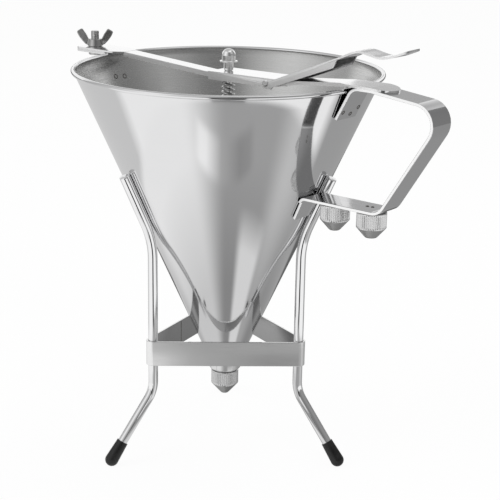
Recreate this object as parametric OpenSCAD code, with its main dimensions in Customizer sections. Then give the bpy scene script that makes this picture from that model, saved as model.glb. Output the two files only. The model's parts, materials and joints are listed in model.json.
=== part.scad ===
// Batter dispenser: a sheet funnel with a lever valve, resting in a three-legged wire stand.
// Millimetres, +Z up. The handle points along +X and the table is the plane z = 0.

/* [Funnel] */
// Outer diameter over the rolled rim
rim_d = 190; // [184:1:200]
// Height of the centre of the rolled rim above the table
rim_z = 243.5; // [240:0.5:255]
// Diameter of the rolled rim
bead_d = 2.8; // [2.4:0.1:3.2]
// Half-angle of the cone
cone_angle = 24; // [23.5:0.1:24.5]
// Sheet thickness of the cone
wall_t = 1; // [0.8:0.1:1.2]

/* [Outlet] */
// Diameter of the ferrule at the foot of the cone
ferrule_d = 20.2; // [19.8:0.1:21]
// Height of the ferrule
ferrule_h = 5.5; // [5:0.1:6]
// Chamfer round the foot of the ferrule
ferrule_chamfer = 1.3; // [0.8:0.1:1.5]
// Diameter of the threaded spigot that takes a nozzle
spigot_d = 13.8; // [13:0.1:14.2]
// Length of the spigot on the funnel
spigot_h = 7.7; // [6:0.1:8]
// Bore for the batter
bore_d = 10; // [8.5:0.1:10.5]
// Depth of the ledge on which the valve plug closes
seat_h = 1.5; // [1.2:0.1:2]

/* [Nozzles] */
// Outer diameter of every nozzle
nozzle_d = 17.6; // [17:0.1:18]
// Height of the knurled part of a nozzle
knurl_h = 9.2; // [8.5:0.1:10]
// Half-angle of a nozzle's cone
nozzle_angle = 41; // [38:0.5:43]
// Wall of a nozzle's cone
nozzle_wall = 1.5; // [1.2:0.1:1.7]
// Groove between the ferrule and the fitted nozzle
nozzle_gap = 0.5; // [0.3:0.1:0.8]
// Tip diameter of the fitted nozzle
tip_d = 5; // [4.6:0.1:6]
// Outlet of the fitted nozzle
outlet_d = 3.4; // [2.5:0.1:3.6]
// Tip diameter of the inner spare nozzle
spare_inner_tip_d = 6.4; // [6:0.1:7]
// Outlet of the inner spare nozzle
spare_inner_outlet_d = 4.8; // [4:0.1:5]
// Tip diameter of the outer spare nozzle
spare_outer_tip_d = 7.2; // [6.8:0.1:8]
// Outlet of the outer spare nozzle
spare_outer_outlet_d = 5.6; // [5:0.1:5.8]
// Distance of the inner spare nozzle from the cone, along the handle's lower run
spare_inset = 19.4; // [18.5:0.1:20.5]
// Distance between the two spare nozzles
spare_pitch = 25.7; // [24:0.1:26]
// Length of the studs that hold the spare nozzles
stud_h = 5; // [3:0.5:7]
// Gap between the handle and a spare nozzle
stud_gap = 0.4; // [0.3:0.1:0.6]

/* [Handle] */
// Width of the handle strap
strap_w = 18.6; // [17:0.1:19]
// Thickness of the handle strap
strap_t = 1.8; // [1.5:0.1:2.2]
// Reach of the handle beyond the rim
handle_reach = 56; // [54:0.5:60]
// Height of the handle's top above the rolled rim
handle_rise = 1.3; // [0.8:0.1:1.8]
// Level length of the handle's top, out from the rim
grip_flat = 15; // [12:0.5:17]
// Fall of the handle's top beyond the level length
grip_fall = 6.3; // [5:0.1:8]
// Lean of the handle's outer run from the vertical
grip_lean = 32; // [30:0.5:33]
// Outside radius of the handle's upper corner
grip_r = 12.5; // [11:0.5:14]
// Outside radius of the handle's lower corner
heel_r = 10; // [8:0.5:12]
// Height of the underside of the handle's lower run
handle_z = 175.3; // [173:0.1:178]
// Centre-line radius of the bend at the rim
shoulder_r = 7; // [5:0.5:8]
// Centre-line radius of the bend on to the cone at the lower run
toe_r = 3.5; // [3:0.1:5]
// Distance from the rim's centre down to the end of the upper flange
flange_drop = 16.8; // [14:0.1:20]
// Length of the lower flange below the lower run
tongue_h = 13; // [10:0.5:15]
// Width of the lower flange, between the funnel and a leg
tongue_w = 15.6; // [14:0.1:16]

/* [Bridge] */
// Sheet thickness of the bridge
bar_t = 1.2; // [1:0.1:1.4]
// Width of the flat ends of the bridge
paddle_w = 20; // [18:0.5:21]
// Reach of the bridge's clamped end beyond the rim
bar_reach = 28; // [26:0.5:32]
// Reach of the bridge's free end beyond the rim
tail_reach = 26.5; // [24:0.5:28]
// Radius of the corners at the clamped end
paddle_corner_r = 3; // [2:0.5:5]
// Length over which a flat end widens from its channel
paddle_flare = 5; // [4:0.5:7]
// Distance from the rim in to the start of the clamped flat end
paddle_inset = 11; // [9:0.5:13]
// Distance from the rim in to the start of the free flat end
tail_inset = 7; // [6:0.5:8]
// Height of the bridge's middle below the rim's centre
bar_drop = 1.5; // [1:0.1:2]
// Width of the channel on the clamped side
slim_w = 10.8; // [10:0.1:12]
// Depth of the channel on the clamped side
slim_h = 3; // [2.4:0.1:3.4]
// Width of the channel under the lever
wide_w = 16.6; // [16:0.1:17]
// Depth of the channel under the lever
wide_h = 2.2; // [1.8:0.1:2.3]
// Distance from the rod back to the step between the two channels
step_x = 6.5; // [6:0.1:7]
// Distance from the rod back to the start of the clamped side's rise
level_back = 14; // [12:0.5:16]
// Distance from the rod to the start of the free side's rise
ramp_start = 44; // [43:0.5:45]
// Distance from the rod to the end of the free side's steeper rise
ramp_end = 58; // [56:0.5:60]
// Height of the free side's steeper rise
ramp_h = 2.8; // [2.4:0.1:3.2]
// Width of the ears that hold the pivot pin
ear_w = 7.5; // [6.5:0.1:9]
// Depth of the ears below the bridge's top
ear_h = 4.6; // [3.6:0.1:5]
// Depth of the pivot pin's centre below the bridge's top
pivot_drop = 0.7; // [0.6:0.1:0.8]

/* [Clamp] */
// Distance from the bridge's end to the clamp bolt
bolt_inset = 8; // [7:0.5:9]
// Diameter of the clamp bolt
bolt_d = 5; // [4:0.1:5.2]
// Height of the clamp bolt's end above the bridge
bolt_h = 10; // [8:0.5:12]
// Diameter of the clamp bolt's head
bolt_head_d = 8.5; // [8:0.1:10]
// Height of the clamp bolt's head
bolt_head_h = 2.5; // [2:0.1:3.5]
// Thickness of the bracket
bracket_t = 1.8; // [1.5:0.1:2]
// Diameter of the wing nut's hub
hub_d = 9.8; // [9:0.1:11]
// Height of the wing nut's hub
hub_h = 4.6; // [4:0.1:5.5]
// Span of the wings
wing_span = 23.6; // [22:0.1:26]
// Height of the wings
wing_h = 11.2; // [10:0.1:12]
// Thickness of the wings
wing_t = 2.2; // [1.6:0.1:3]
// Angle at which the wings stand
wing_azimuth = 40; // [0:5:180]

/* [Lever] */
// Sheet thickness of the lever
lever_t = 1.2; // [1:0.1:1.3]
// Width of the lever
lever_w = 20; // [19.8:0.1:21]
// Depth of the lever's side flanges
lever_h = 5; // [4.6:0.1:5.4]
// Reach of the lever past the rod, away from the handle
lever_back = 7.7; // [6.5:0.1:9]
// Distance from the rod to the pivot
pivot_x = 36.5; // [35:0.1:38]
// Distance from the pivot to the bend of the lever
lever_bend = 7; // [6.5:0.1:7.5]
// Rise of the lever from its back end to the bend
lever_tilt = 1.03; // [0.9:0.05:1.1]
// Gap between the bridge and the lever above the rod
web_gap = 0.3; // [0.25:0.05:0.4]
// Slope cut off the outer ends of the side flanges
flange_cut = 4.2; // [3:0.1:5]
// Diameter of the pivot pin
pin_d = 2.5; // [2:0.1:2.6]
// Diameter of the pin's heads
pin_head_d = 4.4; // [3.6:0.1:4.8]
// Height of the pin's heads
pin_head_h = 0.8; // [0.5:0.1:1.2]
// Rise of the lever's arm
lever_rise = 21.6; // [21:0.1:22]
// Level length of the lever's arm
arm_run = 44.5; // [42:0.5:46]
// Level length of the thumb tab
tab_run = 45; // [40:0.5:48]
// Length over which the arm narrows to the thumb tab
tab_neck = 7; // [5:0.5:9]
// Distance from the end of the arm to the tab's hump
hump_run = 11.5; // [10:0.5:13]
// Distance from the end of the arm to the tab's dip
dip_run = 25; // [23:0.5:27]
// Width of the thumb tab at its hump
tab_w = 14; // [12:0.5:16]
// Width of the thumb tab at its tip
tip_w = 13; // [11:0.5:13.5]
// Height of the tab's hump above the end of the arm
hump_rise = 4.4; // [3.5:0.1:5]
// Height of the tab's dip above the end of the arm
dip_rise = 2.4; // [2:0.1:3]
// Height of the tab's tip above the end of the arm
tip_rise = 8.4; // [7:0.1:10]
// Turn of the lever when it is pressed right down
press_angle = 7.5; // [6:0.1:7.5]

/* [Valve rod] */
// Diameter of the rod
rod_d = 4; // [3.6:0.1:4.2]
// Diameter of the neck nut below the knob
neck_d = 6.1; // [6:0.1:6.8]
// Height of the neck nut
neck_h = 4.8; // [4:0.1:6]
// Diameter of the flange under the dome knob
knob_flange_d = 10.9; // [10:0.1:12]
// Height of the flange under the dome knob
knob_flange_h = 0.8; // [0.6:0.1:1.2]
// Diameter of the dome knob
knob_d = 8.6; // [8:0.1:9.5]
// Height of the dome knob above its flange
knob_h = 7.4; // [7:0.1:8.5]
// Largest diameter of the valve plug
plug_d = 12; // [11.5:0.1:12.5]
// Height of the valve plug's straight part
plug_h = 5.6; // [4:0.1:7]
// Diameter of the valve plug at its foot
plug_tip_d = 4.8; // [4:0.1:6]
// Depth to which the rod enters the plug and the knob
rod_grip = 4; // [3:0.1:4.5]
// Diameter of the collar that carries the spring
collar_d = 9.5; // [9:0.1:10.5]
// Height of the spring collar
collar_h = 2.6; // [2:0.1:4]

/* [Return spring] */
// Outer diameter of the spring
spring_d = 8.6; // [8:0.1:9]
// Wire diameter of the spring
wire_d = 1.2; // [0.9:0.1:1.3]
// Length of the spring at rest
spring_h = 45; // [43:0.5:48]
// Number of curls in the spring
curls = 16; // [14:1:17]

/* [Stand] */
// Diameter of the leg wire
leg_d = 6; // [5.5:0.1:6.2]
// Radius of the circle on which the legs stand upright, as a share of the rim's
stand_share = 0.5516; // [0.54:0.0005:0.565]
// Height of the top of the legs
leg_top_z = 185.5; // [183:0.5:187]
// Radius of the bend where the legs lean on to the cone
lean_r = 55; // [45:1:60]
// Height of the corner where the legs splay out
splay_z = 44.7; // [42:0.1:46]
// Radius of the bend where the legs splay out
splay_r = 20; // [15:1:22]
// Distance by which the feet stand outside the upright part of the legs
foot_spread = 29.6; // [27:0.1:33]
// Turn of the legs about the funnel, from the handle
leg_azimuth = 11; // [10.9:0.1:12]
// Height of the band that ties the legs
band_h = 16; // [14:0.5:18]
// Height of the band's lower edge
band_z = 62.6; // [58:0.1:66]
// Thickness of the band
band_t = 1.2; // [1:0.1:1.5]
// Diameter of a foot cap at its end
cap_d = 8.4; // [8:0.1:9.4]
// Diameter of a foot cap at its mouth
cap_mouth_d = 7.2; // [7:0.1:7.8]
// Length of a foot cap above its round end
cap_h = 13; // [11:0.5:15]
// Depth of the flat worn under a foot cap
cap_flat = 0.5; // [0.3:0.1:0.8]

/* [Clearances] */
// Gap between the cone and the legs that carry it
leg_clear = 0.25; // [0.2:0.05:0.3]
// Gap between pieces that are soldered, welded or pressed together
seam = 0.02; // [0.02:0.01:0.05]
// Gap between flat faces that rest on each other
seat_clear = 0.05; // [0.05:0.01:0.1]
// Running gap round the rod, the pivot pin and the threads
run_clear = 0.05; // [0.03:0.01:0.08]
// Gap round the clamp bolt in the bridge
bolt_clear = 0.4; // [0.3:0.05:0.6]
// Gap between the closed plug and the ledge, square to its face
plug_clear = 0.2; // [0.15:0.05:0.3]
// Gap between the lever and the neck nut that it lifts
lift_clear = 0.25; // [0.2:0.05:0.35]
// Gap between the rolled rim and what passes over or round it
rim_clear = 0.25; // [0.2:0.05:0.4]

/* [Hidden] */
$fn = 96;

// Small overlap that keeps cutters clear of the faces that they cut
eps = 0.5;

// The model is centred over its own footprint: the handle reaches further than the bridge
axis_x = (bar_reach - handle_reach) / 2;

// Cone: the outer face passes through the centre of the rolled rim
rim_r = rim_d / 2;
sheet_r = rim_r - bead_d / 2;
cone_slope = tan(cone_angle);
apex_z = rim_z - sheet_r / cone_slope;
wall_run = wall_t / cos(cone_angle);
rim_top_z = rim_z + bead_d / 2;
function cone_r(z) = (z - apex_z) * cone_slope;

// Outlet: the ferrule's lip ends where the cone comes out of it
ferrule_lip = 0.4;
ferrule_top_z = apex_z + (ferrule_d / 2 - ferrule_lip) / cone_slope;
ferrule_z = ferrule_top_z - ferrule_h;
seat_z = ferrule_z + seat_h;
nozzle_z = ferrule_z - nozzle_gap;
spigot_r = spigot_d / 2;
bore_r = bore_d / 2;

// Handle and bracket: both flanges start on the cone and pass outside the rolled rim
left_seat_z = rim_top_z + rim_clear;
strap_top_z = rim_top_z + handle_rise;
spare_inner_x = cone_r(handle_z) + spare_inset;
spare_outer_x = spare_inner_x + spare_pitch;

// Bridge: heights of its top face
left_top_z = left_seat_z + seat_clear + bar_t;
mid_top_z = rim_z - bar_drop;
right_top_z = strap_top_z + seat_clear + bar_t;
bolt_x = -(rim_r + bar_reach - bolt_inset);

// Lever: heights of its top face
lever_slope = tan(lever_tilt);
web_z = mid_top_z + web_gap + lever_t;
bend_x = pivot_x + lever_bend;
bend_z = web_z + lever_slope * bend_x;
arm_x = bend_x + arm_run;
arm_z = bend_z + arm_run * tan(lever_rise);
pivot_z = mid_top_z - pivot_drop;

// Rod: everything on it is stacked up from the lever and the ledge in the outlet
rod_r = rod_d / 2;
plug_r = plug_d / 2;
plug_z = seat_z + plug_clear * sqrt(2);
plug_tip_r = plug_tip_d / 2;
plug_top_z = plug_z + plug_r - bore_r + plug_h;
neck_z = web_z + lever_slope * neck_d / 2 + lift_clear;
knob_z = neck_z + neck_h;
spring_top_z = mid_top_z - bar_t - seat_clear;
collar_z = spring_top_z - spring_h - seat_clear - collar_h;

// Stand
leg_r = leg_d / 2;
stand_r = stand_share * rim_r;
foot_r = stand_r + foot_spread;
lean_offset = (leg_r + leg_clear) / cos(cone_angle);
lean_z = apex_z + (stand_r - lean_offset) / cone_slope;
foot_z = cap_d / 2 - cap_flat;
splay_angle = atan((foot_r - stand_r) / (splay_z - foot_z));
leg_angles = [leg_azimuth, leg_azimuth + 120, leg_azimuth + 240];

// Directions and turns of a path in a plane
function polar(r, a) = r * [cos(a), sin(a)];
function heading(a, b) = atan2(b[1] - a[1], b[0] - a[0]);
function wrapped(a) = a > 180 ? a - 360 : a < -180 ? a + 360 : a;
function turn_at(p, i) = wrapped(heading(p[i], p[i + 1]) - heading(p[i - 1], p[i]));
function is_end(p, i) = i == 0 || i == len(p) - 1;
function setback(p, r, i) = is_end(p, i) ? 0 : r[i] * tan(abs(turn_at(p, i)) / 2);
function reversed(p) = [for (i = [len(p) - 1 : -1 : 0]) p[i]];
function lowered(p, d) = [for (q = p) q - [0, d]];

// Smooth rise from a to b, with a slope at each end
function blend_z(a, b, slope_a, slope_b, u) =
    let (run = b[0] - a[0])
    a[1] * (1 + 2 * u) * pow(1 - u, 2) + run * slope_a * u * pow(1 - u, 2)
    + b[1] * (3 - 2 * u) * pow(u, 2) + run * slope_b * (u - 1) * pow(u, 2);
function blend(a, b, slope_a, slope_b, steps) =
    [for (i = [1 : steps]) let (u = i / steps)
        [a[0] + (b[0] - a[0]) * u, blend_z(a, b, slope_a, slope_b, u)]];

// Everything is drawn about the funnel's axis, then set over the middle of the footprint
module on_axis() translate([axis_x, 0, 0]) children();

// A path with its corners rounded, drawn at a distance o to the left of its centre line
function arc_points(p, r, i, o, steps) =
    let (turn = turn_at(p, i), a = heading(p[i - 1], p[i]), side = turn > 0 ? 90 : -90)
    let (centre = p[i] - polar(setback(p, r, i), a) + polar(r[i], a + side))
    [for (k = [0 : steps]) centre + polar(r[i] - o * sign(turn), a - side + turn * k / steps)];
function end_point(p, i, o) =
    let (a = i == 0 ? heading(p[0], p[1]) : heading(p[i - 1], p[i]))
    [p[i] + polar(o, a + 90)];
function rounded_path(p, r, o, steps) =
    [for (i = [0 : len(p) - 1])
        for (q = is_end(p, i) ? end_point(p, i, o) : arc_points(p, r, i, o, steps)) q];

// A tube through the given points: out holds the direction of each ring's first corner
function unit(v) = v / norm(v);
function tube_way(p, k) =
    k == 0 ? unit(p[1] - p[0]) : k == len(p) - 1 ? unit(p[k] - p[k - 1])
    : unit(unit(p[k] - p[k - 1]) + unit(p[k + 1] - p[k]));
function tube_ring(centre, way, out, r, sides) =
    let (up = unit(cross(way, out)))
    [for (s = [0 : sides - 1]) let (a = s * 360 / sides) centre + r * (cos(a) * out + sin(a) * up)];
function tube_face(k, s, sides) =
    let (a = k * sides + s, b = k * sides + (s + 1) % sides)
    [[a, b, b + sides], [a, b + sides, a + sides]];
module tube(p, out, r, sides) {
    last = len(p) - 1;
    polyhedron(
        points = [for (k = [0 : last]) for (q = tube_ring(p[k], tube_way(p, k), out[k], r, sides)) q],
        faces = concat(
            [for (k = [0 : last - 1]) for (s = [0 : sides - 1]) for (f = tube_face(k, s, sides)) f],
            [for (s = [1 : sides - 2]) [0, s + 1, s]],
            [for (s = [1 : sides - 2]) [last * sides, last * sides + s, last * sides + s + 1]]));
}

// A side view in the XZ plane, given a width across
module across(w) rotate([90, 0, 0]) linear_extrude(w, center = true) children();

// A side view that hangs below a line of points
module ribbon(p, depth) polygon(concat(p, reversed(lowered(p, depth))));

// A bent strap of the given width and thickness along a path in the XZ plane
module strap(p, r, t, w) across(w) polygon(
    concat(rounded_path(p, r, t / 2, 10), reversed(rounded_path(p, r, -t / 2, 10))));

// Cone filled to its outer face, from a height up to the rim
module cone_solid(z0, z1, gap) rotate_extrude()
    polygon([[0, z0], [cone_r(z0) + gap, z0], [cone_r(z1) + gap, z1], [0, z1]]);

module funnel_cone() color("silver") on_axis() rotate_extrude() {
    z0 = seat_z + seam;
    polygon([[cone_r(z0) - wall_run, z0], [cone_r(z0), z0], [sheet_r, rim_z], [sheet_r - wall_run, rim_z]]);
    translate([sheet_r, rim_z]) circle(d = bead_d);
}

// Turned ring at the foot of the cone, with the ledge for the plug and the spigot for a nozzle
module outlet_ferrule() color("gainsboro") on_axis() difference() {
    union() {
        rotate_extrude() polygon([
            [0, ferrule_z], [ferrule_d / 2 - ferrule_chamfer, ferrule_z],
            [ferrule_d / 2, ferrule_z + ferrule_chamfer], [ferrule_d / 2, ferrule_top_z],
            [0, ferrule_top_z]]);
        translate([0, 0, ferrule_z - spigot_h]) cylinder(r = spigot_r, h = spigot_h + eps);
    }
    translate([0, 0, ferrule_z - spigot_h - eps]) cylinder(r = bore_r, h = spigot_h + seat_h + 2 * eps);
    cone_solid(seat_z, ferrule_top_z + eps, seam);
}

// A nozzle hanging from its top face at the origin, with the outlet in its tip
module nozzle(tip, outlet) {
    slope = tan(nozzle_angle);
    inset = nozzle_wall / cos(nozzle_angle);
    thread_r = spigot_r + run_clear;
    foot = -knurl_h - (nozzle_d - tip) / 2 / slope;
    thread_end = -knurl_h - (nozzle_d / 2 - inset - thread_r) / slope;
    throat = -knurl_h - (nozzle_d / 2 - inset - outlet / 2) / slope;
    rotate_extrude() polygon([
        [thread_r, 0], [nozzle_d / 2, 0], [nozzle_d / 2, -knurl_h], [tip / 2, foot],
        [outlet / 2, foot], [outlet / 2, throat], [thread_r, thread_end]]);
}

module outlet_nozzle() color("lightgray") on_axis()
    translate([0, 0, nozzle_z]) nozzle(tip_d, outlet_d);

module spare_nozzle(x, tip, outlet) color("lightgray") on_axis()
    translate([x, 0, handle_z - stud_gap]) nozzle(tip, outlet);

// Threaded boss under the handle that holds a spare nozzle
module stud(x) color("gray") on_axis()
    translate([x, 0, handle_z - seam - stud_h]) cylinder(r = spigot_r, h = stud_h);

// Centre line of a flange: from its lower end on the cone to a face at the given height
function flange_foot() = [cone_r(rim_z - flange_drop) + seam, rim_z - flange_drop];
function flange_angle() = heading(flange_foot(), [rim_r + rim_clear, rim_z]);
function flange_start(t) = flange_foot() + polar(t / 2, flange_angle() - 90);
function flange_corner(t, z) =
    let (p = flange_start(t), a = flange_angle())
    [p[0] + (z - t / 2 - p[1]) / tan(a), z - t / 2];

// Corners of the handle's centre line, from the upper flange round to the lower one
function grip_knee() = [rim_r + grip_flat, strap_top_z - strap_t / 2];
function grip_corner() =
    let (r = grip_r - strap_t / 2, turn = 90 + grip_lean - grip_fall)
    let (x = rim_r + handle_reach - grip_r + r * sin(grip_fall))
    let (knee = grip_knee())
    [x, knee[1] - (x - knee[0]) * tan(grip_fall)] + polar(r * tan(turn / 2), -grip_fall);
function heel_corner() =
    let (top = grip_corner(), z = handle_z + strap_t / 2)
    [top[0] - (top[1] - z) * tan(grip_lean), z];
function toe_offset() = (strap_t / 2 + seam) / cos(cone_angle);
function toe_corner() = [cone_r(heel_corner()[1]) + toe_offset(), heel_corner()[1]];
function tongue_end() = [cone_r(handle_z - tongue_h) + toe_offset(), handle_z - tongue_h];

// One bent strap: down the cone, over the rim, round the grip and back on to the cone
module handle_strap() color("silver") on_axis() difference() {
    strap(
        [flange_start(strap_t), flange_corner(strap_t, strap_top_z), grip_knee(), grip_corner(),
            heel_corner(), toe_corner(), tongue_end()],
        [0, shoulder_r, shoulder_r, grip_r - strap_t / 2, heel_r - strap_t / 2, toe_r, 0],
        strap_t, strap_w);
    for (side = [-1, 1])
        translate([tongue_end()[0], side * (tongue_w + strap_w) / 2, handle_z - strap_t - strap_w])
            cube([strap_w * 2, strap_w, strap_w * 2], center = true);
}

// Bent bracket under the clamped end of the bridge
module bridge_bracket() color("silver") on_axis() difference() {
    mirror([1, 0, 0]) strap(
        [flange_start(bracket_t), flange_corner(bracket_t, left_seat_z),
            [rim_r + bar_reach - 1, left_seat_z - bracket_t / 2]],
        [0, bracket_t * 1.5, 0], bracket_t, paddle_w - 1);
    translate([bolt_x, 0, left_seat_z - bracket_t - eps])
        cylinder(d = bolt_d + 2 * seam, h = bracket_t + 2 * eps);
}

module clamp_bolt() color("gray") on_axis() translate([bolt_x, 0, 0]) {
    head_z = left_seat_z - bracket_t - seam;
    translate([0, 0, head_z - bolt_head_h]) cylinder(d = bolt_head_d, h = bolt_head_h);
    translate([0, 0, head_z]) cylinder(d = bolt_d, h = left_top_z + bolt_h - head_z);
}

// Side view of one wing, from the hub out to its tip
module wing() {
    out = wing_span / 2;
    polygon([
        [0, 0.4], [out * 0.4, 0.4], [out * 0.56, 1.4], [out * 0.72, wing_h * 0.31],
        [out * 0.86, wing_h * 0.5], [out * 0.95, wing_h * 0.67], [out, wing_h * 0.8],
        [out * 0.96, wing_h * 0.88], [out * 0.76, wing_h], [out * 0.68, wing_h * 0.98],
        [out * 0.5, wing_h * 0.7], [out * 0.36, hub_h], [0, hub_h]]);
}

module wing_nut() color("dimgray") on_axis() translate([bolt_x, 0, left_top_z + seat_clear])
    rotate([0, 0, wing_azimuth]) difference() {
        union() {
            cylinder(d1 = hub_d, d2 = hub_d - 1.4, h = hub_h);
            across(wing_t) {
                wing();
                mirror([1, 0, 0]) wing();
            }
        }
        translate([0, 0, -eps]) cylinder(d = bolt_d + 2 * run_clear, h = wing_h + 2 * eps);
    }

// Top line of the bridge, from the clamped end to the free end
bar_end_x = -(rim_r + bar_reach);
slim_x = -(rim_r - paddle_inset);
tail_x = rim_r - tail_inset;
tail_end_x = rim_r + tail_reach;
tail_knee = [rim_r + grip_flat, right_top_z];
tail_end = [tail_end_x, right_top_z - (tail_end_x - tail_knee[0]) * tan(grip_fall)];
step_lap = 2;
slim_line = [[slim_x, left_top_z], [-level_back, mid_top_z], [step_lap - step_x, mid_top_z]];
wide_line = [[-step_x, mid_top_z], [ramp_start, mid_top_z], [ramp_end, mid_top_z + ramp_h],
    [tail_x, right_top_z], [tail_x + paddle_flare, right_top_z]];

// A channel open below: the line gives its top face
module channel(p, w, depth) difference() {
    across(w) ribbon(p, depth);
    across(w - 2 * bar_t) ribbon(
        concat([p[0] - [eps, bar_t]], lowered(p, bar_t), [p[len(p) - 1] + [eps, -bar_t]]), depth);
}

// Flat end with the clamp hole
module left_paddle() intersection() {
    across(paddle_w) ribbon([[bar_end_x, left_top_z], [slim_x + 1, left_top_z]], bar_t);
    linear_extrude(rim_z * 2) {
        for (side = [-1, 1])
            translate([bar_end_x + paddle_corner_r, side * (paddle_w / 2 - paddle_corner_r)])
                circle(r = paddle_corner_r);
        polygon([
            [bar_end_x, paddle_w / 2 - paddle_corner_r], [bar_end_x, paddle_corner_r - paddle_w / 2],
            [bar_end_x + paddle_corner_r, -paddle_w / 2], [slim_x - paddle_flare, -paddle_w / 2],
            [slim_x + 1, -slim_w / 2], [slim_x + 1, slim_w / 2],
            [slim_x - paddle_flare, paddle_w / 2], [bar_end_x + paddle_corner_r, paddle_w / 2]]);
    }
}

// Free end that lies on the handle
module right_paddle() intersection() {
    across(paddle_w) ribbon([[tail_x + 1, right_top_z], tail_knee, tail_end], bar_t);
    linear_extrude(rim_z * 2) {
        translate([tail_end_x - paddle_w / 2, 0]) circle(d = paddle_w);
        polygon([
            [tail_x + 1, -wide_w / 2], [tail_x + 1 + paddle_flare, -paddle_w / 2],
            [tail_end_x - paddle_w / 2, -paddle_w / 2], [tail_end_x - paddle_w / 2, paddle_w / 2],
            [tail_x + 1 + paddle_flare, paddle_w / 2], [tail_x + 1, wide_w / 2]]);
    }
}

// Ear below each side of the bridge, round the pivot pin
module ears() for (side = [-1, 1]) translate([pivot_x, side * (wide_w - bar_t) / 2, 0])
    across(bar_t) {
        corner = 1.5;
        polygon([
            [-ear_w / 2, mid_top_z], [-ear_w / 2, mid_top_z - ear_h + corner],
            [-ear_w / 2 + corner, mid_top_z - ear_h], [ear_w / 2 - corner, mid_top_z - ear_h],
            [ear_w / 2, mid_top_z - ear_h + corner], [ear_w / 2, mid_top_z]]);
    }

module bridge_bar() color("silver") on_axis() difference() {
    union() {
        left_paddle();
        channel(slim_line, slim_w, slim_h);
        channel(wide_line, wide_w, wide_h);
        ears();
        right_paddle();
    }
    translate([bolt_x, 0, left_top_z - bar_t - eps])
        cylinder(d = bolt_d + 2 * bolt_clear, h = bar_t + 2 * eps);
    translate([0, 0, mid_top_z - bar_t - eps]) cylinder(d = rod_d + 2 * run_clear, h = bar_t + 2 * eps);
    translate([pivot_x, 0, pivot_z]) rotate([90, 0, 0])
        cylinder(d = pin_d + 2 * seam, h = wide_w + 2 * eps, center = true);
    // Window in the web, so that the pin runs clear between the ears
    translate([pivot_x, 0, mid_top_z]) cube([pin_d + 2, wide_w - 2 * bar_t, 3 * bar_t], center = true);
}

// Side view of the lever's channel: the web's top line and the lower edge of its flanges
web_line = [[-lever_back, web_z - lever_slope * lever_back], [bend_x, bend_z], [arm_x, arm_z]];
module lever_side() polygon([
    web_line[0], web_line[1], web_line[2],
    [arm_x - flange_cut, arm_z - flange_cut * tan(lever_rise) - lever_h],
    [bend_x - 2, bend_z - lever_h - lever_slope * 2],
    [-lever_back, web_line[0][1] - lever_h]]);

// Thumb tab: up over a hump, down into a dip, up to its tip
hump = [arm_x + hump_run, arm_z + hump_rise];
dip = [arm_x + dip_run, arm_z + dip_rise];
tab_end = [arm_x + tab_run, arm_z + tip_rise];
tab_line = concat(
    [[arm_x - 1, arm_z - tan(lever_rise)], [arm_x, arm_z]],
    blend([arm_x, arm_z], hump, tan(lever_rise), 0, 6),
    blend(hump, dip, 0, 0, 6),
    blend(dip, tab_end, 0, 0.33, 8));
module thumb_tab() intersection() {
    across(lever_w) ribbon(tab_line, lever_t);
    linear_extrude(arm_z * 2) {
        translate([tab_end[0] - tip_w / 2, 0]) circle(d = tip_w);
        polygon([
            [arm_x - 2, -lever_w / 2], [arm_x + 1.5, -lever_w / 2], [arm_x + tab_neck, -tab_w / 2 - 1],
            [hump[0], -tab_w / 2], [tab_end[0] - tip_w / 2, -tip_w / 2],
            [tab_end[0] - tip_w / 2, tip_w / 2], [hump[0], tab_w / 2], [arm_x + tab_neck, tab_w / 2 + 1],
            [arm_x + 1.5, lever_w / 2], [arm_x - 2, lever_w / 2]]);
    }
}

// The rod's hole in the lever sways with it, so at rest it lies half the sway behind the rod
hole_rise = web_z - lever_t / 2 - pivot_z;
hole_sway = pivot_x * (1 - cos(press_angle)) + hole_rise * sin(press_angle);
hole_d = rod_d + hole_sway + lever_t * sin(press_angle) + 0.3;

module lever() color("silver") on_axis() difference() {
    union() {
        difference() {
            across(lever_w) lever_side();
            across(lever_w - 2 * lever_t) ribbon(
                [web_line[0] - [eps, lever_t], web_line[1] - [0, lever_t], web_line[2] - [0, lever_t],
                    web_line[2] + [1, tan(lever_rise) - lever_t]],
                3 * lever_h);
        }
        thumb_tab();
    }
    translate([-hole_sway / 2, 0, web_z - 2 * lever_t]) cylinder(d = hole_d, h = 3 * lever_t);
    translate([pivot_x, 0, pivot_z]) rotate([90, 0, 0])
        cylinder(d = pin_d + 2 * run_clear, h = lever_w + 2 * eps, center = true);
}

// Riveted pin through the lever's flanges and the bridge's ears
module pivot_pin() color("gray") on_axis() translate([pivot_x, 0, pivot_z]) rotate([90, 0, 0]) {
    cylinder(d = pin_d, h = lever_w + 2 * run_clear, center = true);
    for (side = [0, 1]) mirror([0, 0, side]) translate([0, 0, lever_w / 2 + run_clear])
        cylinder(d1 = pin_head_d, d2 = pin_head_d - 1, h = pin_head_h);
}

module valve_rod() color("gainsboro") on_axis() translate([0, 0, plug_top_z - rod_grip])
    cylinder(d = rod_d, h = knob_z + rod_grip - plug_top_z + rod_grip);

module valve_plug() color("gainsboro") on_axis() difference() {
    rotate_extrude() polygon([
        [0, plug_z + plug_tip_r - bore_r], [plug_tip_r, plug_z + plug_tip_r - bore_r],
        [plug_r, plug_z + plug_r - bore_r], [plug_r, plug_top_z], [0, plug_top_z]]);
    translate([0, 0, plug_top_z - rod_grip - seam])
        cylinder(d = rod_d + 2 * seam, h = rod_grip + eps);
}

// A ring threaded on the rod
module sleeve(z, h, d) translate([0, 0, z]) difference() {
    cylinder(d = d, h = h);
    translate([0, 0, -eps]) cylinder(d = rod_d + 2 * seam, h = h + 2 * eps);
}

module spring_collar() color("gainsboro") on_axis() sleeve(collar_z, collar_h, collar_d);

module neck_nut() color("gray") on_axis() sleeve(neck_z, neck_h - seam, neck_d);

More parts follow.
